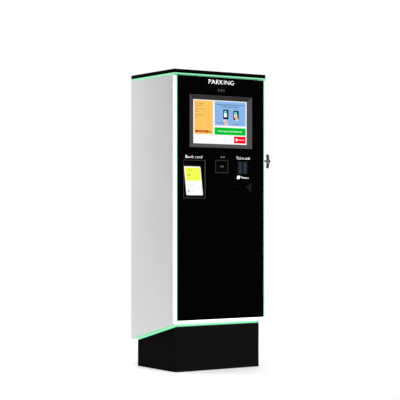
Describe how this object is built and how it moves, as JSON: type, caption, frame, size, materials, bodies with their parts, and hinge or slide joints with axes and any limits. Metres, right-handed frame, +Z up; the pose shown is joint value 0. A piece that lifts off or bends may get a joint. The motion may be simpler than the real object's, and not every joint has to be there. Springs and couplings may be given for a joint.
{
  "type": "parking pay station",
  "caption": "Free-standing parking pay kiosk on a recessed plinth, with a hinged front door holding a touch screen, card, contactless, code and bill readers.",
  "frame": {"origin": "centre of the base plate's underside, on the floor", "axes": "+Z up; -Y is the front, where the door and the screen are; +X is to the right of a person facing the door"},
  "size_m": [0.684, 0.476, 1.7],
  "materials": {
    "white_coat": "fine-textured satin powder coat",
    "black_coat": "fine-textured satin powder coat",
    "handle_coat": "satin dark chrome on a die casting",
    "zinc_steel": "zinc plated sheet",
    "bare_aluminium": "mill finish",
    "black_aluminium": "black anodised",
    "chrome_metal": "polished",
    "led_diffuser": "opal light diffuser, lit mint green",
    "black_gloss": "polished acrylic, back painted black",
    "grey_plastic": "fine moulded texture",
    "light_grey_plastic": "fine moulded texture",
    "black_plastic": "fine moulded texture",
    "dark_window": "smoked, polished",
    "display_glass": "cover glass over a lit display",
    "lamp_lens": "clear moulded lens",
    "seal_rubber": "closed-cell foam"
  },
  "bodies": {
    "cabinet": {"base_plate": "zinc_steel", "plinth_shell": "black_coat", "base_led_strip": "led_diffuser", "floor_pan": "white_coat", "cable_gland": "black_plastic", "side_panel_left": "white_coat", "side_panel_right": "white_coat", "rear_panel": "white_coat", "roof_plate": "zinc_steel", "top_led_strip": "led_diffuser", "top_cap": "black_coat", "door_post_left": "zinc_steel", "door_post_right": "zinc_steel", "door_sill": "zinc_steel", "door_header": "zinc_steel", "door_seal": "seal_rubber", "hinge_bracket_upper": "zinc_steel", "hinge_bracket_lower": "zinc_steel", "handle_escutcheon": "black_plastic", "door_switch_body": "black_plastic", "component_plate": "zinc_steel", "din_rail": "bare_aluminium", "circuit_breaker": "light_grey_plastic", "power_supply": "bare_aluminium", "terminal_block": "light_grey_plastic", "industrial_pc": "black_aluminium", "network_router": "light_grey_plastic", "cable_duct": "light_grey_plastic", "fan_housing": "black_plastic"},
    "door": {"door_panel": "zinc_steel", "door_trim": "white_coat", "front_glass": "black_gloss", "side_led_left": "led_diffuser", "side_led_right": "led_diffuser", "hinge_leaf_upper": "zinc_steel", "hinge_leaf_lower": "zinc_steel", "lock_keeper": "zinc_steel", "screen_bezel": "grey_plastic", "touch_display": "display_glass", "monitor_chassis": "black_aluminium", "camera_window": "dark_window", "camera_module": "black_plastic", "card_reader_recess": "grey_plastic", "card_terminal_body": "black_plastic", "card_terminal_display": "display_glass", "contactless_reader_frame": "grey_plastic", "contactless_reader_pad": "black_plastic", "indicator_lamps": "lamp_lens", "scanner_bezel": "black_plastic", "scanner_window": "dark_window", "scanner_engine": "black_plastic", "bill_bezel": "grey_plastic", "bill_validator": "black_plastic"},
    "cashbox": {"cashbox": "zinc_steel"},
    "t_handle": {"t_handle": "handle_coat", "lock_cam": "zinc_steel"},
    "lock_plug": {"lock_plug": "chrome_metal"},
    "breaker_lever": {"breaker_lever": "black_plastic"},
    "fan_rotor": {"fan_rotor": "black_plastic"},
    "door_switch_plunger": {"door_switch_plunger": "chrome_metal"}
  },
  "joints": [
    {"name": "door_hinge", "type": "hinge", "parent": "cabinet", "child": "door", "pos_m": [-0.303, -0.222, 0.97], "axis": [0, 0, -1], "range_deg": [0, 110]},
    {"name": "cashbox_slide", "type": "slide", "parent": "door", "child": "cashbox", "axis": [0, 1, 0], "range_m": [0, 0.11]},
    {"name": "handle_turn", "type": "hinge", "parent": "cabinet", "child": "t_handle", "pos_m": [0.315, -0.201, 1.198], "axis": [1, 0, 0], "range_deg": [0, 90]},
    {"name": "key_turn", "type": "hinge", "parent": "t_handle", "child": "lock_plug", "pos_m": [0.37, -0.201, 1.198], "axis": [1, 0, 0], "range_deg": [0, 90]},
    {"name": "breaker_toggle", "type": "hinge", "parent": "cabinet", "child": "breaker_lever", "pos_m": [-0.133, 0.142, 0.64], "axis": [1, 0, 0], "range_deg": [0, 70]},
    {"name": "fan_spin", "type": "hinge", "parent": "cabinet", "child": "fan_rotor", "pos_m": [0, 0.22, 1.48], "axis": [0, 1, 0], "continuous": true},
    {"name": "switch_press", "type": "slide", "parent": "cabinet", "child": "door_switch_plunger", "axis": [0, 1, 0], "range_m": [0, 0.003], "stiffness_N_per_m": 300}
  ]
}
